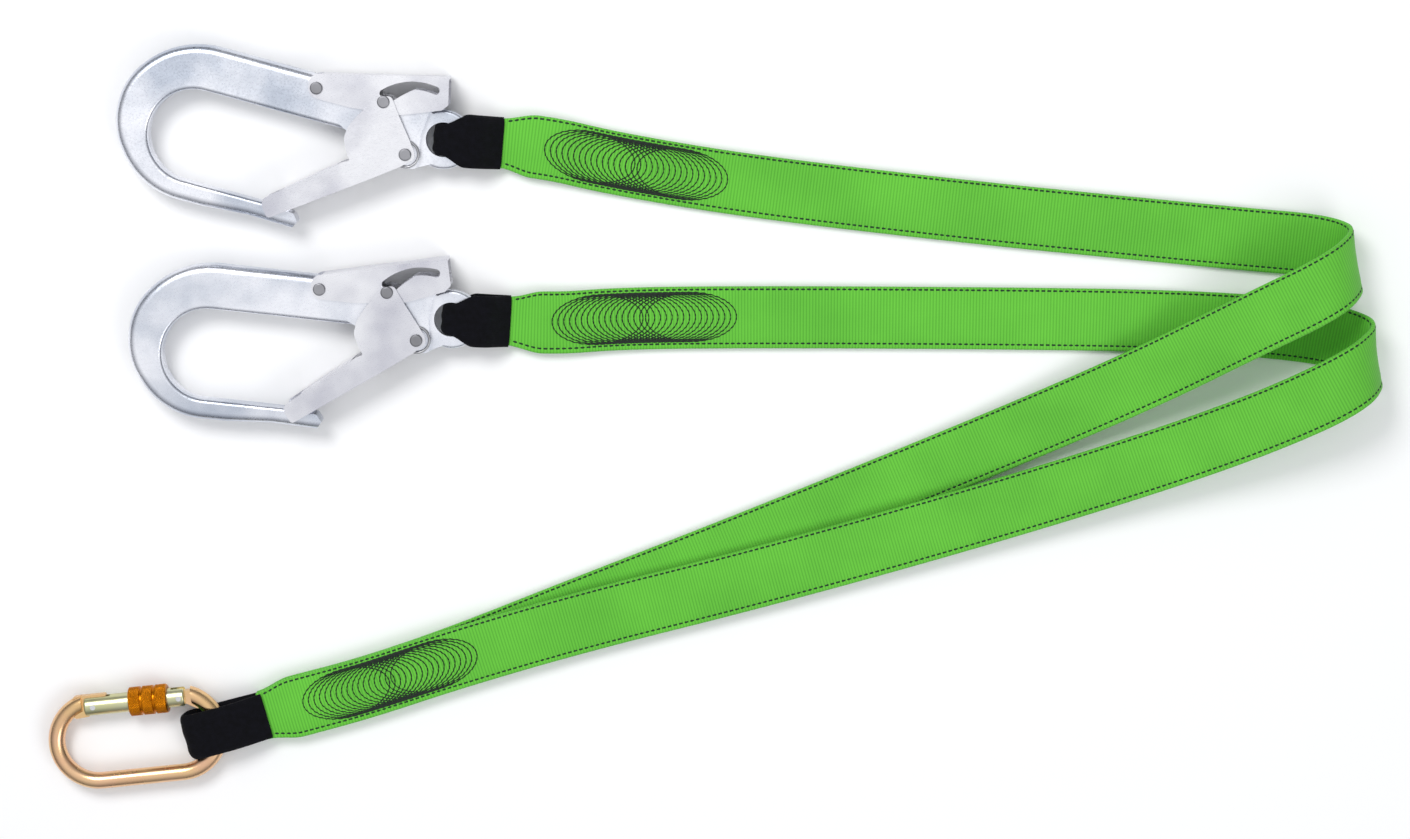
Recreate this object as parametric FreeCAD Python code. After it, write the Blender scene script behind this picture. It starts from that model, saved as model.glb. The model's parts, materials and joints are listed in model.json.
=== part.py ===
import FreeCAD, Part
import math
import os

# Forked shock absorbing lanyard lying on a table: two webbing legs, two scaffold hooks and one
# oval screw-gate carabiner. Millimetres, +Z up, +X along the legs, origin on the table below the
# middle of the hooks, carabiner and wear sleeves.

V = FreeCAD.Vector
Z = V(0, 0, 1)

# --- driving dimensions ---------------------------------------------------------------------------
CLEAR = 0.3              # gap between bodies that move past each other
RUN_FIT = 0.05           # radial running clearance of a rivet or pin

CASING_W = 39.5          # measured along the crease; square across the leg it is 38.5
CASING_T = 5.0
CAVITY_W, CAVITY_T = 27.0, 3.7
ABSORBER_W, ABSORBER_T = 25.0, 3.0
LOOP_WEB_T = 1.5         # one layer of load web in an end loop
LOOP_INSET = 3.4         # how far its edges stay inside the wear sleeve's outline
SLEEVE_WALL = 0.5
HOOK_CASING_START = 38.0       # from the eye centre to the mouth of the casing
CARABINER_CASING_START = 32.0  # from the rod's centre to the mouth of the casings
TAIL = 14.0              # how far an end loop reaches into the casing
HEAD_TAPER = 4.6         # how much each corner of a sewn head is drawn in
HEAD_TAPER_LENGTH = 18.0

HOOK_Z = 14.0            # height of a hook's middle plane over the table
BODY_HALF = 8.0          # forging's half thickness
EYE_HALF = 4.5
LEVER_IN, LEVER_OUT = 8.6, 10.2
GATE_IN, GATE_OUT = 10.6, 12.2
HEAD_OUT = 13.9          # outer face of the rivet heads on the gate
BIGHT_R = 28.0
BIGHT = V(-126.4, -23.3, 0)
EYE = V(19.5, 14.1, 0)
EYE_HOLE_R, EYE_R = 10.5, 18.0
LEVER_PIVOT = V(-61.8, 24.5, 0)
LOCK_PIN_R = 34.2        # the locking pin's distance from the gate pivot
LOCK_PIN_ANGLE = 127.0
RIVET_R = 2.6
RIVET_HEAD_R = 3.8
GATE_OPENING = 30.0      # degrees
LEVER_TRAVEL = 7.5       # degrees, with the gate fully open

CARABINER = V(-87.4, -199.3, 10.1)
CARABINER_TILT = 6.0     # degrees
ROD_R = 5.2
BEND_R = 25.7
HALF_STRAIGHT = 25.4
GATE_AXIS_Y = 22.6
GATE_TUBE_R = 6.2
LATCH_X, HINGE_X = -24.8, 29.1
SCREW_SLEEVE_R = 9.2
SCREW_TRAVEL = 16.0

HOOKS = {"hook_a": (V(86.2, 166.2, HOOK_Z), -15.35, -5.0),
         "hook_b": (V(91.4, 52.9, HOOK_Z), -6.3, -4.0)}
CARABINER_LOOP_TURN = 15.0
CREASE = {"a": V(-0.191, 0.9816, 0), "b": V(-0.16, 0.987, 0)}

# Centreline of each leg between its two sewn heads; the head points are added by head_points.
ROUTE = {
    "a": [(212, 158.8, 2.8), (300, 144.2, 2.9), (440, 128, 2.8), (540, 118.2, 2.9), (600, 112.4, 2.8),
          (647.2, 108.4, 3), (666.6, 103.2, 25), (644.9, 88.8, 50), (598.9, 63.6, 37), (537, 27.5, 15.5),
          (440, -17, 4), (300, -75, 2.8), (190, -118.5, 2.9), (110, -150.8, 2.8), (55, -169.5, 2.8)],
    "b": [(216, 63.6, 2.8), (305, 64.4, 2.9), (440, 63.6, 2.8), (545, 62.2, 2.9), (612, 58.8, 2.8),
          (657, 52.8, 3), (681, 45.5, 25), (660, 31, 50), (611, 5, 38), (540, -24.5, 21),
          (430, -61, 11.5), (300, -98.5, 8.6), (190, -126.5, 8.4), (110, -150.3, 8.5), (55, -169, 8.4)],
}

BACK_FILLET = 5.0
INNER_FILLET = 2.4
LEVER_SPRING_X = -47.0
LEVER_SPRING_FOOT = 13.0
LOCK_PIN_SHANK_R = 2.3
LOCK_PIN_HOLE_R = LOCK_PIN_SHANK_R + 0.02
HOOK_LOOP = [(33, -4.9), (21, 6.2), (1.5, 6.2), (-4.4, 3.5), (-4.4, -3.5), (1.5, -6.2),
             (21, -6.3), (33, -8.8)]
HOOK_MOUTH = (HOOK_CASING_START, -7.2, -8.85)
CARABINER_LOOP = [(27, 1.2), (9, 7.65), (-13.5, 7.65), (-19.6, 4), (-19.6, -4), (-13.5, -7.65),
                  (27, -7.4)]
CARABINER_MOUTH = (CARABINER_CASING_START, -1.8, -7.3)
NOSE_HALF = 2.4
CARABINER_PIN_R = 1.7
GATE_LEFT, GATE_RIGHT = -30.4, 32.6
SPRING_BORE_R = 2.6
SPRING_BORE = (6.0, 24.4)


# --- helpers --------------------------------------------------------------------------------------
def at(x, y, z=0.0):
    return V(x, y, z)


def heading(degrees):
    turn = math.radians(degrees)
    return V(math.cos(turn), math.sin(turn), 0)


def outline(corners):
    """A closed wire through (x, y, radius) corners, each rounded by an arc of that radius."""
    edges = []
    count = len(corners)
    cuts = []
    for i, (x, y, r) in enumerate(corners):
        here = at(x, y)
        back = at(*corners[i - 1][:2]) - here
        on = at(*corners[(i + 1) % count][:2]) - here
        back.normalize()
        on.normalize()
        half = back.getAngle(on) / 2
        reach = r / math.tan(half)
        middle = back + on
        middle.normalize()
        bulge = here + middle * (r / math.sin(half) - r)
        cuts.append((here + back * reach, bulge, here + on * reach))
    for i, (start, bulge, end) in enumerate(cuts):
        if corners[i][2] > 0:
            edges.append(Part.Arc(start, bulge, end).toShape())
        after = cuts[(i + 1) % count][0]
        if (after - end).Length > 1e-4:
            edges.append(Part.LineSegment(end, after).toShape())
    return Part.Wire(edges)


def slab(corners, low, high):
    face = Part.Face(outline(corners))
    face.translate(V(0, 0, low))
    return face.extrude(V(0, 0, high - low))


def disc(centre, radius, low, high):
    return Part.makeCylinder(radius, high - low, V(centre.x, centre.y, low))


def both_sides(shape):
    return shape.fuse(shape.mirror(V(0, 0, 0), Z))


def polar(radius, degrees):
    return heading(degrees) * radius


def path(points):
    """Straight runs joined by tangent arcs, with the arcs' radii."""
    edges = []
    radii = []
    last = points[0]
    for before, here, after in zip(points, points[1:], points[2:]):
        back = before - here
        on = after - here
        short = min(back.Length, on.Length)
        back.normalize()
        on.normalize()
        half_turn = (math.pi - back.getAngle(on)) / 2
        reach = 0.45 * short
        radius = reach / math.tan(half_turn)
        middle = back + on
        middle.normalize()
        bulge = here + middle * (radius / math.cos(half_turn) - radius)
        edges.append(Part.LineSegment(last, here + back * reach).toShape())
        edges.append(Part.Arc(here + back * reach, bulge, here + on * reach).toShape())
        radii.append(round(radius, 1))
        last = here + on * reach
    edges.append(Part.LineSegment(last, points[-1]).toShape())
    return Part.Wire(edges), radii


def ribbon(points, crease, width, thickness):
    """A flat band along a path, its width always along the crease direction."""
    wire, radii = path(points)
    across = V(crease)
    across.normalize()
    normal = across.cross(points[1] - points[0])
    normal.normalize()
    w = across * (width / 2)
    n = normal * (thickness / 2)
    p = points[0]
    section = Part.makePolygon([p + w + n, p - w + n, p - w - n, p + w - n, p + w + n])
    sweep = Part.BRepOffsetAPI.MakePipeShell(wire)
    sweep.setBiNormalMode(across)
    sweep.add(section)
    sweep.build()
    sweep.makeSolid()
    return sweep.shape(), wire.Length, radii


def shifted(profile, offset):
    """An (s, z) profile moved sideways by an offset, its corners mitred."""
    moved = []
    for i, (s, z) in enumerate(profile):
        here = V(s, z, 0)
        before = V(*profile[max(i - 1, 0)], 0)
        after = V(*profile[min(i + 1, len(profile) - 1)], 0)
        sides = []
        for step in (here - before, after - here):
            if step.Length > 0:
                step.normalize()
                sides.append(V(-step.y, step.x, 0))
        normal = sides[0] + sides[-1]
        normal.normalize()
        spot = here + normal * (offset / normal.dot(sides[0]))
        moved.append((spot.x, spot.y))
    return moved


def further(before, end):
    """The end of a profile, carried on by a little in its own direction."""
    s, z = end[0] - before[0], end[1] - before[1]
    k = 1.0 / (s * s + z * z) ** 0.5
    return end[0] + s * k, end[1] + z * k


def band(profile, width, thickness):
    """A band in a loop's own frame: s along X, width along Y."""
    return ribbon([V(s, 0, z) for s, z in profile], V(0, 1, 0), width, thickness)[0]


def helix(radius, wire_radius, pitch, turns):
    coil = Part.makeHelix(pitch, pitch * turns, radius)
    start = coil.Vertexes[0].Point
    tangent = coil.Edges[0].tangentAt(coil.Edges[0].FirstParameter)
    section = Part.Wire(Part.makeCircle(wire_radius, start, tangent))
    return Part.Wire(coil).makePipeShell([section], True, True)


# --- scaffold hook, in its own frame: gate pivot at the origin, spine along X ----------------------
def lock_pin_place():
    return polar(LOCK_PIN_R, LOCK_PIN_ANGLE)


def hook_body():
    bow = [(-66, 32.4, 0), (-149.5, 32.4, 54), (-176, -0.5, 42), (-176, -31.4, 42),
           (-150.6, -64, 48), (-112, -63.6, 30), (-84, -61.6, 30), (-56, -62.2, 0)]
    nose = [(-53.2, -57.4, 2.2), (-57, -52.6, 2.2), (-66, -54, 8), (-78, -51.3, 0)]
    corner_x = BIGHT.x - BIGHT_R
    bight = [(corner_x, BIGHT.y - BIGHT_R, BIGHT_R), (corner_x, BIGHT.y + BIGHT_R, BIGHT_R)]
    back = [(-39, 4.7, 0), (-14, -7.5, 4), (6, -7.8, 4), (24, 2, 6), (24, 22, 6), (7.4, 28.6, 6),
            (-8, 29.4, 12), (-23, 20.4, 6), (-36, 20.4, 6), (-60, 29.6, 6)]
    forging = soften(slab(bow + nose + bight + back, -BODY_HALF, BODY_HALF))
    waist = slab([(30, -30, 0), (30, 60, 0), (11, 60, 0), (6, 14, 0), (11, -30, 0)], EYE_HALF, 20)
    ring = disc(EYE, EYE_R, -EYE_HALF, EYE_HALF)
    ring = ring.makeFillet(2.0, [e for e in ring.Edges if isinstance(e.Curve, Part.Circle)])
    forging = forging.cut(both_sides(waist)).fuse(ring)
    boss = disc(V(0, 0, 0), 6.4, -GATE_IN + CLEAR, GATE_IN - CLEAR)
    forging = forging.fuse(boss)
    for hole in (disc(EYE, EYE_HOLE_R, -20, 20), disc(V(0, 0, 0), RIVET_R + RUN_FIT, -20, 20),
                 disc(LEVER_PIVOT, RIVET_R + RUN_FIT, -20, 20)):
        forging = forging.cut(hole)
    pocket = Part.makeCylinder(3.4, 30, V(LEVER_SPRING_X, LEVER_SPRING_FOOT, 0), V(0, 1, 0))
    return forging.cut(pocket).removeSplitter()


def soften(forging):
    """Round the forging's long edges: wide on the back of the bow, narrow on its inner wall."""
    for radius, start in ((BACK_FILLET, V(-100, 32.4, 0)), (INNER_FILLET, V(-80, 4.7, 0))):
        for level in (-BODY_HALF, BODY_HALF):
            spot = Part.Vertex(start + V(0, 0, level))
            edge = min(forging.Edges, key=lambda e: e.distToShape(spot)[0])
            forging = forging.makeFillet(radius, [edge])
    return forging


def hook_gate():
    plate = [(-24.2, 30.4, 2), (-16.6, 31.6, 3), (-8.9, 20.9, 8), (4.8, 3.4, 6), (6.2, -1.2, 3),
             (-0.8, -7.8, 3), (-16.6, -19.9, 20), (-70.9, -59.6, 2), (-76.6, -52.4, 5),
             (-76.0, -48.3, 3), (-35.4, -14.4, 2.6), (-31.4, -12.4, 1.0), (-34.6, -8.0, 6),
             (-38.4, 0, 8), (-37.2, 8.4, 14), (-32.8, 16.6, 14)]
    plates = both_sides(slab(plate, GATE_IN, GATE_OUT))
    web = slab([(-37.6, -18.6, 0), (-66.4, -42.6, 0), (-67.5, -41.3, 0), (-38.7, -17.3, 0)],
               -GATE_OUT, GATE_OUT)
    back = slab([(-24, -25.0, 0), (-52, -45.5, 0), (-53, -44.1, 0), (-25, -23.6, 0)],
                -GATE_OUT, GATE_OUT)
    gate = plates.fuse(web).fuse(back)
    gate = gate.cut(disc(V(0, 0, 0), RIVET_R + RUN_FIT, -20, 20))
    return gate.cut(disc(lock_pin_place(), LOCK_PIN_HOLE_R, -20, 20)).removeSplitter()


def headed_pin(centre, shank, shank_end, head, head_in, head_out):
    """A rivet with a low domed head at each end."""
    pin = disc(centre, shank, -shank_end, shank_end)
    cap = disc(centre, head, head_in, head_out)
    rim = [e for e in cap.Edges if isinstance(e.Curve, Part.Circle) and e.CenterOfMass.z > head_out - 0.01]
    cap = cap.makeFillet((head_out - head_in) * 0.6, rim)
    return pin.fuse(both_sides(cap)).removeSplitter()


def slot_sweep(radius):
    """Room for the locking pin in the lever: its path as gate and lever turn together."""
    room = []
    steps = 10
    spots = []
    for step in range(steps + 1):
        gate_turn = GATE_OPENING * step / steps
        lever_turn = LEVER_TRAVEL * step / steps
        spot = polar(LOCK_PIN_R, LOCK_PIN_ANGLE - gate_turn)
        mover = FreeCAD.Rotation(Z, lever_turn)
        spots.append(LEVER_PIVOT + mover.multVec(spot - LEVER_PIVOT))
    for start, end in zip(spots, spots[1:]):
        along = end - start
        box = Part.makeBox(along.Length, 2 * radius, 2 * GATE_OUT, V(0, -radius, -GATE_OUT))
        box.rotate(V(0, 0, 0), Z, math.degrees(math.atan2(along.y, along.x)))
        box.translate(start)
        room.append(box)
        room.append(disc(start, radius, -GATE_OUT, GATE_OUT))
    room.append(disc(spots[-1], radius, -GATE_OUT, GATE_OUT))
    return room[0].multiFuse(room[1:])


def lever_slot():
    """The curved slot over the pin, centred on the gate pivot while the lever is pressed."""
    pressed = FreeCAD.Rotation(Z, LEVER_TRAVEL)
    centre = LEVER_PIVOT + pressed.multVec(V(0, 0, 0) - LEVER_PIVOT)
    half = 2.4
    first, last = 136.0, 81.0
    arc = disc(centre, LOCK_PIN_R + half, -GATE_OUT, GATE_OUT).cut(
        disc(centre, LOCK_PIN_R - half, -GATE_OUT, GATE_OUT))
    far = 3 * LOCK_PIN_R
    corners = [centre] + [centre + polar(far, a) for a in (first, (first + last) / 2, last)] + [centre]
    wedge = Part.Face(Part.makePolygon(corners)).extrude(V(0, 0, 2 * GATE_OUT))
    wedge.translate(V(0, 0, -GATE_OUT))
    ends = [disc(centre + polar(LOCK_PIN_R, a), half, -GATE_OUT, GATE_OUT) for a in (first, last)]
    return arc.common(wedge).multiFuse(ends)


def hook_lever():
    plate = [(-67.6, 32.0, 6), (13.8, 51.8, 1), (17.6, 35.4, 1.5), (14.5, 31.4, 2), (-8.9, 22.0, 30),
             (-39.6, 18.4, 30), (-66, 18.4, 6.4)]
    cheeks = both_sides(slab(plate, LEVER_IN, LEVER_OUT))
    roof = slab([(-61, 33.6, 0), (13.8, 51.8, 0), (14.2, 50.2, 0), (-60.6, 32.0, 0)],
                -LEVER_OUT, LEVER_OUT)
    lever = cheeks.fuse(roof)
    lever = lever.cut(disc(LEVER_PIVOT, RIVET_R + RUN_FIT, -20, 20))
    return lever.cut(lever_slot()).cut(slot_sweep(LOCK_PIN_SHANK_R + CLEAR)).removeSplitter()


def gate_spring():
    """One flat turn of wire round the pivot with a leg that bears on the gate's web."""
    wire_r = 0.8
    coil_r = 7.8
    level = BODY_HALF + 1.2
    start, sweep = -110.0, 310.0
    coil = Part.makeTorus(coil_r, wire_r, V(0, 0, 0), Z, -180, 180, sweep)
    coil.rotate(V(0, 0, 0), Z, start)
    end = start + sweep
    leg = Part.makeCylinder(wire_r, 26, polar(coil_r, end), heading(end + 22))
    spring = coil.fuse(leg)
    spring.translate(V(0, 0, level))
    return spring


def lever_spring():
    wire_r = 0.5
    pitch, turns = 2.9, 6
    coil = helix(2.5, wire_r, pitch, turns)
    coil.rotate(V(0, 0, 0), V(1, 0, 0), -90)
    coil.translate(V(LEVER_SPRING_X, LEVER_SPRING_FOOT + wire_r + 0.1, 0))
    return coil


def hook_parts():
    return {
        "body": hook_body(),
        "gate": hook_gate(),
        "lock_lever": hook_lever(),
        "gate_rivet": headed_pin(V(0, 0, 0), RIVET_R, GATE_OUT + 0.3, RIVET_HEAD_R,
                                 GATE_OUT + 0.2, HEAD_OUT),
        "lock_pin": headed_pin(lock_pin_place(), LOCK_PIN_SHANK_R, GATE_OUT, RIVET_HEAD_R,
                               GATE_OUT, HEAD_OUT - 0.2),
        "lever_rivet": headed_pin(LEVER_PIVOT, RIVET_R, LEVER_OUT + 0.3, RIVET_HEAD_R,
                                  LEVER_OUT + 0.2, LEVER_OUT + 1.6),
        "gate_spring": gate_spring(),
        "lever_spring": lever_spring(),
    }


# --- end loops and wear sleeves, in their own frame: eye centre at the origin, casing along +X ------
def hook_loop_outline(inset):
    narrow, wide = 9.6 - inset, 15.6 - inset
    trapezoid = slab([(-0.5, -narrow, 0), (13, -wide, 2), (90, -wide, 0), (90, wide, 0),
                      (13, wide, 2), (-0.5, narrow, 0)], -40, 40)
    return trapezoid.fuse(disc(V(0, 0, 0), 10.0 - inset, -40, 40))


def carabiner_loop_outline(inset):
    wide = 14.4 - inset
    return slab([(-26, -wide, 3), (90, -wide, 0), (90, wide, 0), (-26, wide, 3)], -40, 40)


def loop_parts(profile, mouth, outline_of, layers):
    """A wear sleeve and its load webs. The profile is the sleeve's middle line, in (s, z);
    the webs go on to the casing's mouth, at the heights given, and on inside it."""
    gap = 0.1
    inside = layers * LOOP_WEB_T + (layers + 1) * gap
    start, upper, lower = mouth
    tails = [(start + TAIL, upper), (start - 2.0, upper)] + profile
    tails += [(start - 2.0, lower), (start + TAIL, lower)]
    through = [further(profile[1], profile[0])] + profile[1:-1] + [further(profile[-2], profile[-1])]
    outer = band(profile, 60, inside + 2 * SLEEVE_WALL).common(outline_of(0))
    sleeve = outer.cut(band(through, 60, inside).common(outline_of(1.4)))
    webs = []
    for layer in range(layers):
        offset = (layer - (layers - 1) / 2) * (LOOP_WEB_T + gap)
        webs.append(band(shifted(tails, offset), 60, LOOP_WEB_T).common(outline_of(LOOP_INSET)))
    return sleeve, webs


# --- oval carabiner, in its own frame: centre of the oval at the origin, spine along X -------------
def carabiner_body():
    x, r = HALF_STRAIGHT, BEND_R
    spine_end = Part.makeCylinder(ROD_R, 2 * x, V(-x, -r, 0), V(1, 0, 0))
    bends = []
    for side in (-1, 1):
        ring = Part.makeTorus(r, ROD_R, V(side * x, 0, 0), Z)
        half = Part.makeBox(60, 120, 40, V(0 if side > 0 else -60, -60, -20))
        half.translate(V(side * x, 0, 0))
        bends.append(ring.common(half))
    rod = spine_end.multiFuse(bends)
    gap = Part.makeBox(HINGE_X + 7.5 + 32, 40, 40, V(-32, 8, -20))
    rod = rod.cut(gap)
    nose = slab([(-38, 15.5, 2), (-38, 29.8, 3), (-16.6, 29.8, 1.2), (-15.4, 21.4, 1.2),
                 (-22.2, 21.4, 0.6), (-22.2, 25.3, 1.5), (-27.4, 25.3, 1.5), (-27.4, 16.4, 1.5)],
                -NOSE_HALF, NOSE_HALF)
    hinge = slab([(HINGE_X - 4.2, GATE_AXIS_Y + 4.2, 4), (HINGE_X - 4.2, GATE_AXIS_Y - 4.2, 4),
                  (HINGE_X + 4, GATE_AXIS_Y - 4.2, 2), (42, 13, 2), (42, 26.5, 2)],
                 -NOSE_HALF, NOSE_HALF)
    body = rod.multiFuse([nose, hinge])
    return body.cut(disc(V(HINGE_X, GATE_AXIS_Y, 0), CARABINER_PIN_R + RUN_FIT, -20, 20)).removeSplitter()


def carabiner_gate():
    axis = V(1, 0, 0)
    tube = Part.makeCylinder(GATE_TUBE_R, GATE_RIGHT - GATE_LEFT, V(GATE_LEFT, GATE_AXIS_Y, 0), axis)
    rims = [e for e in tube.Edges if isinstance(e.Curve, Part.Circle)]
    tube = tube.makeFillet(1.2, rims)
    slot = NOSE_HALF + CLEAR
    for low, high in ((GATE_LEFT - 1, -14.0), (HINGE_X - 4.8, GATE_RIGHT + 1)):
        tube = tube.cut(Part.makeBox(high - low, 20, 2 * slot, V(low, GATE_AXIS_Y - 10, -slot)))
    bore = Part.makeCylinder(SPRING_BORE_R, SPRING_BORE[1] - SPRING_BORE[0],
                             V(SPRING_BORE[0], GATE_AXIS_Y, 0), axis)
    tube = tube.cut(bore)
    for x in (LATCH_X, HINGE_X):
        tube = tube.cut(disc(V(x, GATE_AXIS_Y, 0), CARABINER_PIN_R + 0.02, -20, 20))
    return tube.removeSplitter()


def carabiner_pin(x):
    return disc(V(x, GATE_AXIS_Y, 0), CARABINER_PIN_R, -GATE_TUBE_R + 0.2, GATE_TUBE_R - 0.2)


def carabiner_spring():
    coil = helix(1.9, 0.4, 1.7, 7)
    coil.rotate(V(0, 0, 0), V(0, 1, 0), 90)
    coil.translate(V(SPRING_BORE[0] + 0.5, GATE_AXIS_Y, 0))
    return coil


def carabiner_plunger():
    stem = Part.makeCylinder(2.4, 3.6, V(20.0, GATE_AXIS_Y, 0), V(1, 0, 0))
    return stem


def screw_sleeve():
    axis = V(1, 0, 0)
    left, length = -2.2, 24.0
    solid = Part.makeCylinder(SCREW_SLEEVE_R, length, V(left, GATE_AXIS_Y, 0), axis)
    solid = solid.makeFillet(0.8, [e for e in solid.Edges if isinstance(e.Curve, Part.Circle)])
    for groove in (left + length / 3, left + 2 * length / 3):
        ring = Part.makeCylinder(SCREW_SLEEVE_R + 1, 1.1, V(groove - 0.55, GATE_AXIS_Y, 0), axis)
        ring = ring.cut(Part.makeCylinder(SCREW_SLEEVE_R - 0.8, 1.1, V(groove - 0.55, GATE_AXIS_Y, 0), axis))
        solid = solid.cut(ring)
    bore = Part.makeCylinder(GATE_TUBE_R + CLEAR, length, V(left, GATE_AXIS_Y, 0), axis)
    mouth = Part.makeCylinder(SCREW_SLEEVE_R - 1.2, 4.2, V(left, GATE_AXIS_Y, 0), axis)
    return solid.cut(bore).cut(mouth).removeSplitter()


def carabiner_parts():
    return {
        "body": carabiner_body(),
        "gate": carabiner_gate(),
        "hinge_pin": carabiner_pin(HINGE_X),
        "latch_pin": carabiner_pin(LATCH_X),
        "gate_spring": carabiner_spring(),
        "spring_plunger": carabiner_plunger(),
        "screw_sleeve": screw_sleeve(),
    }


# --- legs -----------------------------------------------------------------------------------------
def placed(shape, origin, degrees):
    copy = shape.copy()
    copy.rotate(V(0, 0, 0), Z, degrees)
    copy.translate(origin)
    return copy


def eye_place(hook):
    pivot, turn, _ = HOOKS[hook]
    return pivot + FreeCAD.Rotation(Z, turn).multVec(EYE)


def rod_place():
    reach = heading(CARABINER_TILT) * (HALF_STRAIGHT + BEND_R)
    return CARABINER + reach


def leg_points(leg, inset=0.0):
    """The leg's centreline, from the mouth of its hook head to the mouth at the carabiner."""
    eye = eye_place("hook_" + leg)
    out = heading(HOOKS["hook_" + leg][2])
    home = heading(CARABINER_LOOP_TURN)
    head_z = HOOK_Z + (HOOK_MOUTH[1] + HOOK_MOUTH[2]) / 2
    tail_z = CARABINER.z + CARABINER_MOUTH[1 if leg == "b" else 2]
    points = [eye + out * (HOOK_CASING_START + inset), eye + out * (HOOK_CASING_START + 24)]
    points = [V(p.x, p.y, head_z) for p in points]
    points += [V(*spot) for spot in ROUTE[leg]]
    rod = rod_place()
    ends = [rod + home * (CARABINER_CASING_START + 22), rod + home * (CARABINER_CASING_START + inset)]
    return points + [V(p.x, p.y, tail_z) for p in ends]


def leg_parts(leg):
    """A tubular casing and the absorber web inside it."""
    crease = CREASE[leg]
    outer, length, radii = ribbon(leg_points(leg), crease, CASING_W, CASING_T)
    bore, _, _ = ribbon(leg_points(leg, -4.0), crease, CAVITY_W, CAVITY_T)
    casing = outer.cut(bore)
    corner = Part.Face(Part.makePolygon([V(-6, 0, 0), V(HEAD_TAPER_LENGTH, HEAD_TAPER, 0),
                                         V(-6, HEAD_TAPER + 9, 0), V(-6, 0, 0)]))
    corner = corner.extrude(V(0, 0, 60))
    corner.translate(V(0, CASING_W / 2 - HEAD_TAPER, -30))
    turn = HOOKS["hook_" + leg][2]
    mouths = ((leg_points(leg)[0], turn), (leg_points(leg)[-1], CARABINER_LOOP_TURN))
    for mouth, angle in mouths:
        for wedge in (corner, corner.mirror(V(0, 0, 0), V(0, 1, 0))):
            casing = casing.cut(placed(wedge, mouth, angle))
    web, _, _ = ribbon(leg_points(leg, TAIL + 5.0), crease, ABSORBER_W, ABSORBER_T)
    print("leg", leg, "length", round(length, 1), "radii", radii)
    print("leg", leg, "casing + bore over length x section",
          round(outer.Volume / (length * CASING_W * CASING_T), 3))
    return {"casing": casing, "absorber_web": web}


def main():
    os.makedirs("parts", exist_ok=True)
    nodes = {}
    hook = hook_parts()
    sleeve, webs = loop_parts(HOOK_LOOP, HOOK_MOUTH, hook_loop_outline, 1)
    for name, (pivot, turn, out) in HOOKS.items():
        for piece, shape in hook.items():
            nodes[name + "_" + piece] = placed(shape, pivot, turn)
        nodes[name + "_wear_sleeve"] = placed(sleeve, eye_place(name), out)
        nodes[name + "_end_loop"] = placed(webs[0], eye_place(name), out)
    for piece, shape in carabiner_parts().items():
        nodes["carabiner_" + piece] = placed(shape, CARABINER, CARABINER_TILT)
    sleeve, webs = loop_parts(CARABINER_LOOP, CARABINER_MOUTH, carabiner_loop_outline, 2)
    nodes["carabiner_wear_sleeve"] = placed(sleeve, rod_place(), CARABINER_LOOP_TURN)
    for label, web in zip("ab", webs):
        nodes["carabiner_end_loop_" + label] = placed(web, rod_place(), CARABINER_LOOP_TURN)
    for leg in "ab":
        for piece, shape in leg_parts(leg).items():
            nodes["leg_" + leg + "_" + piece] = shape
    for name, shape in nodes.items():
        box = shape.BoundBox
        print(f"{name:28s} valid {shape.isValid()} solids {len(shape.Solids)} volume {shape.Volume:.0f}"
              f" z {box.ZMin:.2f} {box.ZMax:.2f}")
        shape.exportStep("parts/" + name + ".step")


main()
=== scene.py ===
import json
import math

import bpy
import numpy as np
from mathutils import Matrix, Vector


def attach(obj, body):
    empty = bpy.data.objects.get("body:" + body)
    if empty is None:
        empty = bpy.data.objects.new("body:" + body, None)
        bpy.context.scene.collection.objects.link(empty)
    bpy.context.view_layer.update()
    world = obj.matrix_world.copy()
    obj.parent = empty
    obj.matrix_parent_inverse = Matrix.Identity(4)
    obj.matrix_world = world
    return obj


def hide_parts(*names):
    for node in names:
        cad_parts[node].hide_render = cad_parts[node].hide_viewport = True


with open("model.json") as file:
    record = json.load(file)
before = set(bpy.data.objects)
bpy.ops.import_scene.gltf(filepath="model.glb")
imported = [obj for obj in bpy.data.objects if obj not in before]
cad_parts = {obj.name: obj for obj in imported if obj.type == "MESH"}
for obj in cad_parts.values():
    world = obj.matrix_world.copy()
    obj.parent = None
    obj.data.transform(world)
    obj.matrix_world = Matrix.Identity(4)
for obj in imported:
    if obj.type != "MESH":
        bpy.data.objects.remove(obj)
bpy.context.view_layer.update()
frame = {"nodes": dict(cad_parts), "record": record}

MM = 0.001

# --- camera, floor and light --------------------------------------------------------------------
AIM = Vector((0.2675, 0.0, 0.0))
LENS = 85.0
VIEW_WIDTH = 0.874
TILT = math.radians(9.0)


def make_camera():
    data = bpy.data.cameras.new("camera")
    data.lens = LENS
    distance = VIEW_WIDTH * LENS / data.sensor_width
    camera = bpy.data.objects.new("camera", data)
    camera.location = AIM + Vector((0, math.sin(TILT), math.cos(TILT))) * distance
    camera.rotation_euler = (-TILT, 0, 0)
    bpy.context.collection.objects.link(camera)
    bpy.context.scene.camera = camera


def make_light(name, place, aim, size, power):
    data = bpy.data.lights.new(name, "AREA")
    data.shape = "DISK"
    data.size = size
    data.energy = power
    light = bpy.data.objects.new(name, data)
    light.location = place
    light.rotation_euler = (Vector(aim) - Vector(place)).to_track_quat("-Z", "Y").to_euler()
    bpy.context.collection.objects.link(light)


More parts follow.
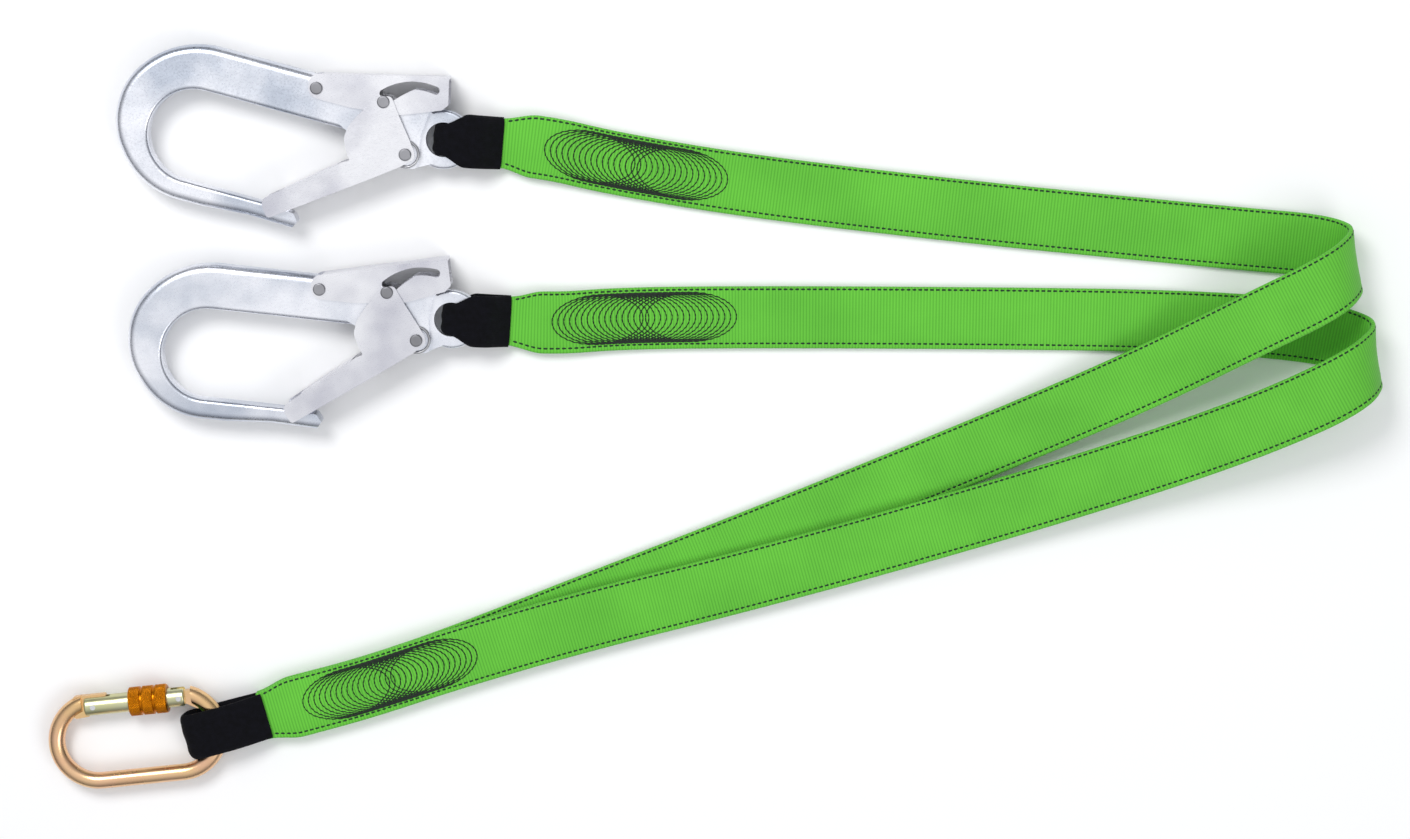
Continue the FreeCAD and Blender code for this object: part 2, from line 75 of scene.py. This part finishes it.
def make_stage():
    bpy.ops.mesh.primitive_plane_add(size=14, location=(0.27, 0, -0.0003))
    floor = bpy.context.object
    floor.name = "floor"
    paint = bpy.data.materials.new("floor_white")
    paint.use_nodes = True
    shader = paint.node_tree.nodes["Principled BSDF"]
    shader.inputs["Base Color"].default_value = (0.96, 0.96, 0.96, 1)
    shader.inputs["Roughness"].default_value = 0.9
    floor.data.materials.append(paint)
    world = bpy.data.worlds.new("studio")
    world.use_nodes = True
    sky = world.node_tree.nodes["Background"]
    sky.inputs["Strength"].default_value = 0.95
    place = world.node_tree.nodes.new("ShaderNodeTexCoord")
    split = world.node_tree.nodes.new("ShaderNodeSeparateXYZ")
    tone = world.node_tree.nodes.new("ShaderNodeValToRGB")
    tone.color_ramp.elements[0].position = 0.05
    tone.color_ramp.elements[0].color = (0.12, 0.125, 0.14, 1)
    tone.color_ramp.elements[1].position = 0.97
    tone.color_ramp.elements[1].color = (0.97, 0.98, 1.0, 1)
    middle = tone.color_ramp.elements.new(0.62)
    middle.color = (0.5, 0.51, 0.54, 1)
    world.node_tree.links.new(place.outputs["Generated"], split.inputs["Vector"])
    world.node_tree.links.new(split.outputs["Z"], tone.inputs["Fac"])
    world.node_tree.links.new(tone.outputs["Color"], sky.inputs["Color"])
    bpy.context.scene.world = world
    bpy.context.scene.view_settings.view_transform = "Standard"
    make_light("key", (-0.5, 1.2, 1.9), (0.2, 0, 0), 0.9, 25)
    make_light("fill", (1.3, -0.9, 1.8), (0.3, 0, 0), 1.2, 10)


make_camera()
make_stage()


# --- materials ----------------------------------------------------------------------------------
class Paint:
    """A small helper that wires a procedural material."""

    def __init__(self, name, roughness, metallic=0.0):
        self.material = bpy.data.materials.new(name)
        self.material.use_nodes = True
        self.tree = self.material.node_tree
        self.shader = self.tree.nodes["Principled BSDF"]
        self.shader.inputs["Roughness"].default_value = roughness
        self.shader.inputs["Metallic"].default_value = metallic
        self.bumps = None

    def node(self, kind, **sockets):
        made = self.tree.nodes.new(kind)
        for key, value in sockets.items():
            made.inputs[key.replace("_", " ")].default_value = value
        return made

    def link(self, source, target):
        self.tree.links.new(source, target)

    def noise(self, scale, detail=4.0, stretch=(1, 1, 1)):
        place = self.node("ShaderNodeTexCoord")
        spread = self.node("ShaderNodeMapping", Scale=stretch)
        made = self.node("ShaderNodeTexNoise", Scale=scale, Detail=detail)
        self.link(place.outputs["Object"], spread.inputs["Vector"])
        self.link(spread.outputs["Vector"], made.inputs["Vector"])
        return made.outputs["Fac"]

    def ramp(self, fac, low, high, start=0.3, end=0.7):
        made = self.tree.nodes.new("ShaderNodeValToRGB")
        made.color_ramp.elements[0].position = start
        made.color_ramp.elements[1].position = end
        made.color_ramp.elements[0].color = (*low, 1)
        made.color_ramp.elements[1].color = (*high, 1)
        self.link(fac, made.inputs["Fac"])
        return made.outputs["Color"]

    def range(self, fac, low, high, start=0.3, end=0.7):
        made = self.node("ShaderNodeMapRange", From_Min=start, From_Max=end, To_Min=low, To_Max=high)
        self.link(fac, made.inputs["Value"])
        return made.outputs["Result"]

    def bump(self, height, strength, distance):
        made = self.node("ShaderNodeBump", Strength=strength, Distance=distance)
        self.link(height, made.inputs["Height"])
        if self.bumps is not None:
            self.link(self.bumps, made.inputs["Normal"])
        self.bumps = made.outputs["Normal"]
        self.link(self.bumps, self.shader.inputs["Normal"])

    def color(self, output):
        self.link(output, self.shader.inputs["Base Color"])

    def roughness(self, output):
        self.link(output, self.shader.inputs["Roughness"])


def metal(name, dark, light, rough, grain=900.0, stretch=(1, 1, 1), scratch=0.1):
    """Satin metal: a cloudy tone in the colour that paints broad reflection blotches, fine grain in
    roughness, and a faint surface ripple.
    """
    paint = Paint(name, rough, 1.0)
    # The noise ramp from dark to light paints broad soft reflection blotches into the base colour.
    paint.color(paint.ramp(paint.noise(20, 3), dark, light, 0.36, 0.6))
    paint.roughness(paint.range(paint.noise(grain, 3, stretch), rough - 0.07, rough + 0.1))
    paint.bump(paint.noise(grain, 4, stretch), scratch, 0.00006)
    paint.bump(paint.noise(45, 2), 0.3, 0.0012)
    return paint.material


def weave_place(paint):
    """(along, across) in metres, stored on the strap's mesh."""
    made = paint.tree.nodes.new("ShaderNodeAttribute")
    made.attribute_name = "weave"
    split = paint.node("ShaderNodeSeparateXYZ")
    paint.link(made.outputs["Vector"], split.inputs["Vector"])
    return split.outputs["X"], split.outputs["Y"]


def wave(paint, place, pitch):
    """A sine of the given pitch along one stored coordinate, 0 to 1."""
    turn = paint.node("ShaderNodeMath")
    turn.operation = "MULTIPLY"
    turn.inputs[1].default_value = 2 * math.pi / pitch
    paint.link(place, turn.inputs[0])
    sine = paint.node("ShaderNodeMath")
    sine.operation = "SINE"
    paint.link(turn.outputs[0], sine.inputs[0])
    return paint.range(sine.outputs[0], 0, 1, -1, 1)


RIB_PITCH = 1.9 * MM


def webbing(name, dark, light):
    paint = Paint(name, 0.78)
    along, across = weave_place(paint)
    rib = wave(paint, along, RIB_PITCH)
    yarn = wave(paint, across, 0.9 * MM)
    tone = paint.node("ShaderNodeMix")
    tone.data_type = "RGBA"
    tone.inputs["Factor"].default_value = 0.35
    # The rib wave also sets the colour: painted shade in each rib's groove and painted light on its crest,
    # matching the rib bump.
    paint.link(paint.ramp(rib, dark, light, 0.0, 0.6), tone.inputs["A"])
    paint.link(paint.ramp(paint.noise(22), dark, light), tone.inputs["B"])
    paint.color(tone.outputs["Result"])
    paint.bump(rib, 0.5, 0.0002)
    paint.bump(yarn, 0.25, 0.0001)
    paint.bump(paint.noise(2600), 0.15, 0.0001)
    paint.shader.inputs["Sheen Weight"].default_value = 0.12
    paint.shader.inputs["Sheen Roughness"].default_value = 0.5
    return paint.material


def black_weave(name):
    paint = Paint(name, 0.85)
    along, across = weave_place(paint)
    paint.color(paint.ramp(paint.noise(300), (0.001, 0.001, 0.002), (0.003, 0.003, 0.006)))
    paint.shader.inputs["Specular IOR Level"].default_value = 0.14
    paint.bump(wave(paint, across, 1.1 * MM), 0.5, 0.0002)
    paint.bump(wave(paint, along, 0.8 * MM), 0.4, 0.0002)
    paint.bump(paint.noise(60, 3), 0.4, 0.0012)
    paint.shader.inputs["Sheen Weight"].default_value = 0.03
    return paint.material


def thread(name, color):
    paint = Paint(name, 0.7)
    paint.color(paint.ramp(paint.noise(1500), tuple(c * 0.6 for c in color), color))
    paint.bump(paint.noise(4000, 2), 0.4, 0.0001)
    return paint.material


def zinc(name, colors, rough):
    """Iridescent passivated zinc: its tint drifts over the surface."""
    paint = Paint(name, rough, 1.0)
    drift = paint.ramp(paint.noise(26, 2), colors[0], colors[1], 0.35, 0.65)
    other = paint.ramp(paint.noise(55, 3, (1, 2, 1)), colors[2], colors[0], 0.3, 0.7)
    tone = paint.node("ShaderNodeMix")
    tone.data_type = "RGBA"
    tone.inputs["Factor"].default_value = 0.4
    paint.link(drift, tone.inputs["A"])
    paint.link(other, tone.inputs["B"])
    paint.color(tone.outputs["Result"])
    paint.roughness(paint.range(paint.noise(90), rough - 0.03, rough + 0.05))
    paint.bump(paint.noise(400, 2), 0.03, 0.00003)
    return paint.material


GREEN_DARK, GREEN_LIGHT = (0.07, 0.36, 0.018), (0.13, 0.57, 0.036)
MATERIALS = {
    "casing": webbing("webbing_green", GREEN_DARK, GREEN_LIGHT),
    "loop_web": webbing("loop_web_green", (0.05, 0.3, 0.03), (0.1, 0.48, 0.05)),
    "absorber": webbing("absorber_web_natural", (0.5, 0.48, 0.4), (0.72, 0.7, 0.6)),
    "sleeve": black_weave("sleeve_black"),
    "edge_thread": thread("thread_dark_green", (0.003, 0.035, 0.01)),
    "block_thread": thread("thread_black_green", (0.002, 0.014, 0.004)),
    "forging": metal("forged_aluminium", (0.5, 0.54, 0.62), (0.86, 0.87, 0.92), 0.3),
    "pressing": metal("pressed_steel", (0.56, 0.56, 0.62), (0.82, 0.82, 0.85), 0.3, 700, (1, 6, 1)),
    "rivet": metal("rivet_steel", (0.18, 0.18, 0.19), (0.32, 0.32, 0.34), 0.45, 1200, (1, 1, 1), 0.3),
    "spring": metal("spring_steel", (0.3, 0.3, 0.31), (0.45, 0.45, 0.47), 0.4),
    "zinc_body": zinc("zinc_yellow", [(0.8, 0.5, 0.24), (0.84, 0.5, 0.38), (0.76, 0.58, 0.25)], 0.27),
    "zinc_gate": zinc("zinc_pale", [(0.62, 0.6, 0.34), (0.7, 0.66, 0.5), (0.5, 0.56, 0.34)], 0.32),
    "pin": metal("pin_steel", (0.62, 0.62, 0.65), (0.8, 0.8, 0.82), 0.3),
    "orange": metal("orange_anodised", (0.5, 0.16, 0.004), (0.66, 0.24, 0.008), 0.3),
}
for row in frame["record"]["subparts"]:
    node = frame["nodes"][row["node"]]
    node.data.materials.clear()
    node.data.materials.append(MATERIALS[row["material_slot"]])


# --- meshes -------------------------------------------------------------------------------------
def add_mesh(name, points, faces, material, weave=None):
    mesh = bpy.data.meshes.new(name)
    mesh.from_pydata([tuple(p) for p in points], [], faces)
    mesh.polygons.foreach_set("use_smooth", [True] * len(mesh.polygons))
    if weave is not None:
        layer = mesh.attributes.new("weave", "FLOAT_VECTOR", "POINT")
        layer.data.foreach_set("vector", np.asarray(weave, dtype=np.float32).ravel())
    mesh.materials.append(material)
    mesh.update()
    made = bpy.data.objects.new(name, mesh)
    bpy.context.collection.objects.link(made)
    return made


def tube_faces(rings, around, start=0, closed=False):
    """Quads between rings of points, with caps unless the rings close on themselves."""
    faces = []
    last = rings if closed else rings - 1
    for i in range(last):
        a = start + i * around
        b = start + ((i + 1) % rings) * around
        for k in range(around):
            n = (k + 1) % around
            faces.append((a + k, a + n, b + n, b + k))
    if not closed:
        faces.append(tuple(start + k for k in reversed(range(around))))
        faces.append(tuple(start + (rings - 1) * around + k for k in range(around)))
    return faces


# --- the legs -----------------------------------------------------------------------------------
# Route points in millimetres, the same as the CAD's: hook mouth first, carabiner mouth last.
def mouth(centre, degrees, reaches, z):
    turn = math.radians(degrees)
    return [(centre[0] + math.cos(turn) * r, centre[1] + math.sin(turn) * r, z) for r in reaches]


EYES = {"a": (108.74, 174.64), "b": (112.33, 64.77)}
ROD = (-36.58, -193.96)
LOOP_TURN = {"a": -5.0, "b": -4.0, "carabiner": 15.0}
CREASE = {"a": (-0.191, 0.9816, 0), "b": (-0.16, 0.987, 0)}
ROUTE = {
    "a": [(212, 158.8, 2.8), (300, 144.2, 2.9), (440, 128, 2.8), (540, 118.2, 2.9), (600, 112.4, 2.8),
          (647.2, 108.4, 3), (666.6, 103.2, 25), (644.9, 88.8, 50), (598.9, 63.6, 37), (537, 27.5, 15.5),
          (440, -17, 4), (300, -75, 2.8), (190, -118.5, 2.9), (110, -150.8, 2.8), (55, -169.5, 2.8)],
    "b": [(216, 63.6, 2.8), (305, 64.4, 2.9), (440, 63.6, 2.8), (545, 62.2, 2.9), (612, 58.8, 2.8),
          (657, 52.8, 3), (681, 45.5, 25), (660, 31, 50), (611, 5, 38), (540, -24.5, 21),
          (430, -61, 11.5), (300, -98.5, 8.6), (190, -126.5, 8.4), (110, -150.3, 8.5), (55, -169, 8.4)],
}
HEAD_Z = 5.98
TAIL_Z = {"a": 2.8, "b": 8.3}
STRAP_W = 38.5 * MM
STEP = 0.475 * MM        # stations along a leg, four to a rib
DOUBLED = 187 * MM       # how far the turned-back web thickens each head


def route_points(leg):
    points = mouth(EYES[leg], LOOP_TURN[leg], (38, 62), HEAD_Z)
    points += ROUTE[leg]
    return points + mouth(ROD, LOOP_TURN["carabiner"], (54, 32), TAIL_Z[leg])


def nurbs_line(name, points):
    """The smooth line that the route's points control, as dense points in metres."""
    curve = bpy.data.curves.new(name, "CURVE")
    curve.dimensions = "3D"
    curve.resolution_u = 48
    spline = curve.splines.new("NURBS")
    spline.points.add(len(points) - 1)
    for spot, place in zip(spline.points, points):
        spot.co = (*(Vector(place) * MM), 1)
    spline.order_u = 3
    spline.use_endpoint_u = True
    holder = bpy.data.objects.new(name, curve)
    bpy.context.collection.objects.link(holder)
    mesh = bpy.data.meshes.new_from_object(holder)
    line = np.array([v.co[:] for v in mesh.vertices])
    bpy.data.objects.remove(holder)
    bpy.data.curves.remove(curve)
    bpy.data.meshes.remove(mesh)
    return line


def smoothstep(x):
    x = np.clip(x, 0, 1)
    return x * x * (3 - 2 * x)


class Strap:
    """A flat strap's surface: places on it by distance along, distance across and side."""

    def __init__(self, line, crease, lead=0.0):
        ends = [line[0] - unit(line[1] - line[0]) * lead, line[-1] + unit(line[-1] - line[-2]) * lead]
        self.line = np.vstack([ends[:1], line, ends[1:]]) if lead else line
        steps = np.linalg.norm(np.diff(self.line, axis=0), axis=1)
        self.at = np.concatenate([[0], np.cumsum(steps)])
        self.length = self.at[-1]
        self.crease = np.array(crease) / np.linalg.norm(crease)

    def place(self, s):
        return np.stack([np.interp(s, self.at, self.line[:, k]) for k in range(3)], axis=-1)

    def frame(self, s):
        gap = 2 * MM
        s = np.asarray(s, dtype=float)
        ahead = self.place(np.minimum(s + gap, self.length))
        behind = self.place(np.maximum(s - gap, 0))
        tangent = unit(ahead - behind)
        lean = (tangent @ self.crease)[..., None]
        across = unit(self.crease - lean * tangent)
        return self.place(s), tangent, across, np.cross(tangent, across)

    def half_width(self, s):
        mouth_half, flare = 15.2 * MM, 22 * MM
        edge = np.minimum(s, self.length - s)
        return mouth_half + (STRAP_W / 2 - mouth_half) * smoothstep(edge / flare)

    def half_thickness(self, s):
        edge = np.minimum(s, self.length - s)
        return (2.1 + 0.5 * (1 - smoothstep((edge - DOUBLED) / (5 * MM)))) * MM

    def height(self, s, w):
        """Half thickness at a place: full in the middle, pinched at the seams, thin at the edge."""
        full = self.half_thickness(s)
        half = self.half_width(s)
        out = np.clip(np.abs(w) / half, 0, 1)
        body = full * (1 - 0.18 * out ** 2)
        seam = np.where(w > 0, half - 1.7 * MM, half - 3.3 * MM)
        pinch = 0.45 * MM * np.exp(-((np.abs(w) - seam) / (0.9 * MM)) ** 2)
        lip = 1 - np.clip((out - 0.9) / 0.1, 0, 1) ** 3 * 0.55
        return (body - pinch) * lip

    def surface(self, s, w, side, lift=0.0):
        spot, _, across, normal = self.frame(s)
        w = np.asarray(w)[..., None]
        rise = (self.height(s, w[..., 0]) + lift) * side
        return spot + across * w + normal * np.asarray(rise)[..., None]


def unit(v):
    return v / np.linalg.norm(v, axis=-1, keepdims=True)


SECTION = np.array([-1, -0.985, -0.95, -0.91, -0.87, -0.83, -0.78, -0.6, -0.3, 0,
                    0.3, 0.6, 0.82, 0.87, 0.91, 0.95, 0.985, 1.0])


def casing_mesh(name, strap):
    count = int(strap.length / STEP)
    s = np.linspace(0, strap.length, count)
    half = strap.half_width(s)
    rib = 0.07 * MM * np.sin(2 * math.pi * s / RIB_PITCH)
    rings = []
    weaves = []
    for side, places in ((1, SECTION), (-1, SECTION[::-1])):
        for out in places:
            w = out * half
            fade = 0.0 if abs(out) > 0.97 else 1.0
            drop = side if abs(out) < 1 else side * 0.45
            rings.append(strap.surface(s, w, drop, rib * fade))
            weaves.append(np.stack([s, w, np.zeros_like(s)], axis=-1))
    around = len(rings)
    points = np.stack(rings, axis=1).reshape(-1, 3)
    weave = np.stack(weaves, axis=1).reshape(-1, 3)
    return add_mesh(name, points, tube_faces(count, around), MATERIALS["casing"], weave)


def edge_stitches(name, strap):
    """Dashed lock stitch down both edges, on both faces."""
    period, length, wide, high = 3.6 * MM, 2.5 * MM, 0.62 * MM, 0.42 * MM
    ease = np.array([0.0, 0.12, 0.5, 0.88, 1.0])
    swell = np.array([0.25, 0.9, 1.0, 0.9, 0.25])
    around = 6
    points = []
    faces = []
    starts = np.arange(4 * MM, strap.length - 6 * MM, period)
    for side in (1, -1):
        for edge in (1, -1):
            inset = 1.7 * MM if edge > 0 else 3.3 * MM
            for start in starts:
                s = start + ease * length
                w = edge * (strap.half_width(s) - inset)
                base = len(points)
                block = np.zeros((len(s), around, 3))
                for k in range(around):
                    turn = 2 * math.pi * k / around
                    reach = w + math.cos(turn) * wide * swell
                    rise = math.sin(turn) * high * swell
                    ring = strap.surface(s, reach, side, 0) + strap.frame(s)[3] * (side * rise)[:, None]
                    block[:, k] = ring
                points.extend(block.reshape(-1, 3))
                faces.extend(tube_faces(len(s), around, base))
    return add_mesh(name, points, faces, MATERIALS["edge_thread"])


def oval_stitches(name, strap, centre, side):
    """A block of overlapping oval stitch loops."""
    count, spacing = 17, 3.6 * MM
    half_long, half_wide = 28 * MM, 15.2 * MM
    around, turns, stitches = 5, 144, 36
    points = []
    faces = []
    for n in range(count):
        middle = centre + (n - (count - 1) / 2) * spacing
        angle = np.linspace(0, 2 * math.pi, turns, endpoint=False)
        s = middle + np.cos(angle) * half_long
        w = np.sin(angle) * half_wide + 0.7 * MM + 0.2 * MM * np.sin(angle * stitches)
        bead = np.abs(np.sin(angle * stitches / 2))
        radius = (0.25 + 0.2 * bead) * MM
        _, tangent, across, normal = strap.frame(s)
        outward = unit(np.stack([np.cos(angle) / half_long, np.sin(angle) / half_wide], axis=-1))
        flat = tangent * outward[:, :1] + across * outward[:, 1:]
        centre_line = strap.surface(s, w, side, 0.02 * MM)
        block = np.zeros((turns, around, 3))
        for k in range(around):
            turn = 2 * math.pi * k / around
            block[:, k] = (centre_line + flat * (radius * math.cos(turn))[:, None]
                           + normal * (side * radius * math.sin(turn))[:, None])
        faces.extend(tube_faces(turns, around, len(points), closed=True))
        points.extend(block.reshape(-1, 3))
    return add_mesh(name, points, faces, MATERIALS["block_thread"])


LOAD_WEB_SECTION = [(-12.5, -0.5), (-11.9, -0.8), (0, -0.85), (11.9, -0.8), (12.5, -0.5),
                    (12.5, 0.5), (11.9, 0.8), (0, 0.85), (-11.9, 0.8), (-12.5, 0.5)]


def load_web(name, strap):
    """The absorber web that lies inside a casing."""
    s = np.linspace(26 * MM, strap.length - 26 * MM, 900)
    spot, _, across, normal = strap.frame(s)
    ripple = 0.15 * MM * np.sin(s / (9 * MM))
    rings = []
    for w, z in LOAD_WEB_SECTION:
        rings.append(spot + across * (w * MM) + normal * (z * MM + ripple)[:, None])
    weave = np.stack([np.repeat(s, len(rings)), np.tile(np.arange(len(rings)) * MM, len(s)),
                      np.zeros(len(s) * len(rings))], axis=-1)
    points = np.stack(rings, axis=1).reshape(-1, 3)
    return add_mesh(name, points, tube_faces(len(s), len(rings)), MATERIALS["absorber"], weave)


for leg in "ab":
    line = nurbs_line("leg_" + leg + "_route", route_points(leg))
    strap = Strap(line, CREASE[leg], lead=4 * MM)
    casing = casing_mesh("leg_" + leg + "_webbing", strap)
    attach(casing, "webbing")
    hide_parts("leg_" + leg + "_casing")
    web = load_web("leg_" + leg + "_load_web", strap)
    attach(web, "webbing")
    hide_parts("leg_" + leg + "_absorber_web")
    seams = edge_stitches("leg_" + leg + "_edge_stitching", strap)
    block = oval_stitches("leg_" + leg + "_hook_stitch_block", strap, 84 * MM, 1)
    under = oval_stitches("leg_" + leg + "_hook_stitch_block_back", strap, 84 * MM, -1)
    far_side = -1 if leg == "b" else 1
    home = oval_stitches("leg_" + leg + "_home_stitch_block", strap, strap.length - 84 * MM, far_side)
    for piece in (seams, block, under, home):
        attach(piece, "webbing")


# --- wear sleeves -------------------------------------------------------------------------------
def sleeve(name, node, centre, height, degrees, profile, width_at, thickness):
    """A flat woven tube bent round an eye: its middle line is (s, z), its width changes along s."""
    turn = math.radians(degrees)
    points = []
    for s, z in profile:
        points.append((centre[0] + math.cos(turn) * s, centre[1] + math.sin(turn) * s, height + z))
    band = Strap(nurbs_line(name + "_line", points), (-math.sin(turn), math.cos(turn), 0))
    count = 150
    s = np.linspace(0, band.length, count)
    spot, tangent, across, normal = band.frame(s)
    local = (spot[:, 0] / MM - centre[0]) * math.cos(turn) + (spot[:, 1] / MM - centre[1]) * math.sin(turn)
    half = np.array([width_at(x) for x in local]) * MM
    across_steps = np.linspace(-1, 1, 21)
    rings = []
    weaves = []
    for side, places in ((1, across_steps), (-1, across_steps[::-1])):
        for out in places:
            full = thickness * MM / 2 * (1 - abs(out) ** 8 * 0.75)
            sag = 0.25 * MM * math.sin(out * 7.0) * np.sin(s / band.length * 21)
            rise = side * full + sag
            rings.append(spot + across * (half * out)[:, None] + normal * rise[:, None])
            weaves.append(np.stack([s, half * out, np.zeros_like(s)], axis=-1))
    around = len(rings)
    made = add_mesh(name, np.stack(rings, axis=1).reshape(-1, 3), tube_faces(count, around),
                    MATERIALS["sleeve"], np.stack(weaves, axis=1).reshape(-1, 3))
    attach(made, "webbing")
    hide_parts(node)


HOOK_LOOP = [(35, -5.6), (30, -2.5), (21, 6.0), (12, 6.4), (2, 6.4), (-4.6, 4.4), (-4.6, -4.4), (2, -6.4),
             (12, -6.3), (21, -6.5), (30, -8.2), (35, -9.0)]
CARABINER_LOOP = [(31, 0.6), (24, 2.6), (10, 7.6), (-2, 7.9), (-14, 7.9), (-20.4, 5), (-20.4, -5),
                  (-14, -7.9), (-2, -7.7), (12, -7.5), (24, -7.4), (31, -7.4)]


def hook_sleeve_width(s):
    if s < -0.5:
        return min(math.sqrt(max(9.9 ** 2 - s * s, 0)), 9.6)
    return 9.6 + (15.8 - 9.6) * float(smoothstep((s + 0.5) / 15))


def carabiner_sleeve_width(s):
    return 14.4 - 1.2 * float(smoothstep((-s - 17) / 5))


for leg in "ab":
    sleeve("hook_" + leg + "_sleeve", "hook_" + leg + "_wear_sleeve", EYES[leg], 14.0, LOOP_TURN[leg],
           HOOK_LOOP, hook_sleeve_width, 3.3)
sleeve("carabiner_sleeve", "carabiner_wear_sleeve", ROD, 10.1, LOOP_TURN["carabiner"],
       CARABINER_LOOP, carabiner_sleeve_width, 4.0)


# --- knurled screw sleeve -----------------------------------------------------------------------
def knurled_sleeve(name, node):
    """A turned sleeve round the carabiner's gate: three knurled bands with grooves between."""
    centre, tilt, axis_y = (-87.4, -199.3, 10.1), math.radians(6), 22.6
    left, length, radius, bore, mouth_bore = -2.2, 24.0, 9.1, 6.5, 8.0
    around, rows = 300, 150
    theta = np.linspace(0, 2 * math.pi, around, endpoint=False)
    profile = []
    for x in np.linspace(0, length, rows):
        end = min(x, length - x)
        groove = min(abs(x - length / 3), abs(x - 2 * length / 3))
        rounding = 0.8 * max(0.0, 1 - end / 0.9) ** 2
        rim = radius - rounding - 0.85 * float(1 - smoothstep((groove - 0.45) / 0.4))
        knurl = 0.55 * float(smoothstep((end - 0.5) / 0.5) * smoothstep((groove - 0.9) / 0.4))
        profile.append((x, rim, knurl))
    profile += [(x, r, 0.0) for x, r in ((length, bore), (length / 2, bore), (4.2, bore), (4.2, mouth_bore),
                                         (0.0, mouth_bore))]
    rings = []
    for x, r, knurl in profile:
        one, two = np.sin(22 * theta + x * 2.4), np.sin(22 * theta - x * 2.4)
        reach = r - knurl * (1 - np.abs(one * two) ** 0.5)
        y, z = axis_y + reach * np.cos(theta), reach * np.sin(theta)
        along = left + x
        world_x = centre[0] + along * math.cos(tilt) - y * math.sin(tilt)
        world_y = centre[1] + along * math.sin(tilt) + y * math.cos(tilt)
        rings.append(np.stack([world_x, world_y, centre[2] + z], axis=-1))
    points = np.concatenate(rings) * MM
    made = add_mesh(name, points, tube_faces(len(profile), around, closed=True), MATERIALS["orange"])
    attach(made, "screw_sleeve")
    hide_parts(node)


knurled_sleeve("carabiner_knurled_sleeve", "carabiner_screw_sleeve")
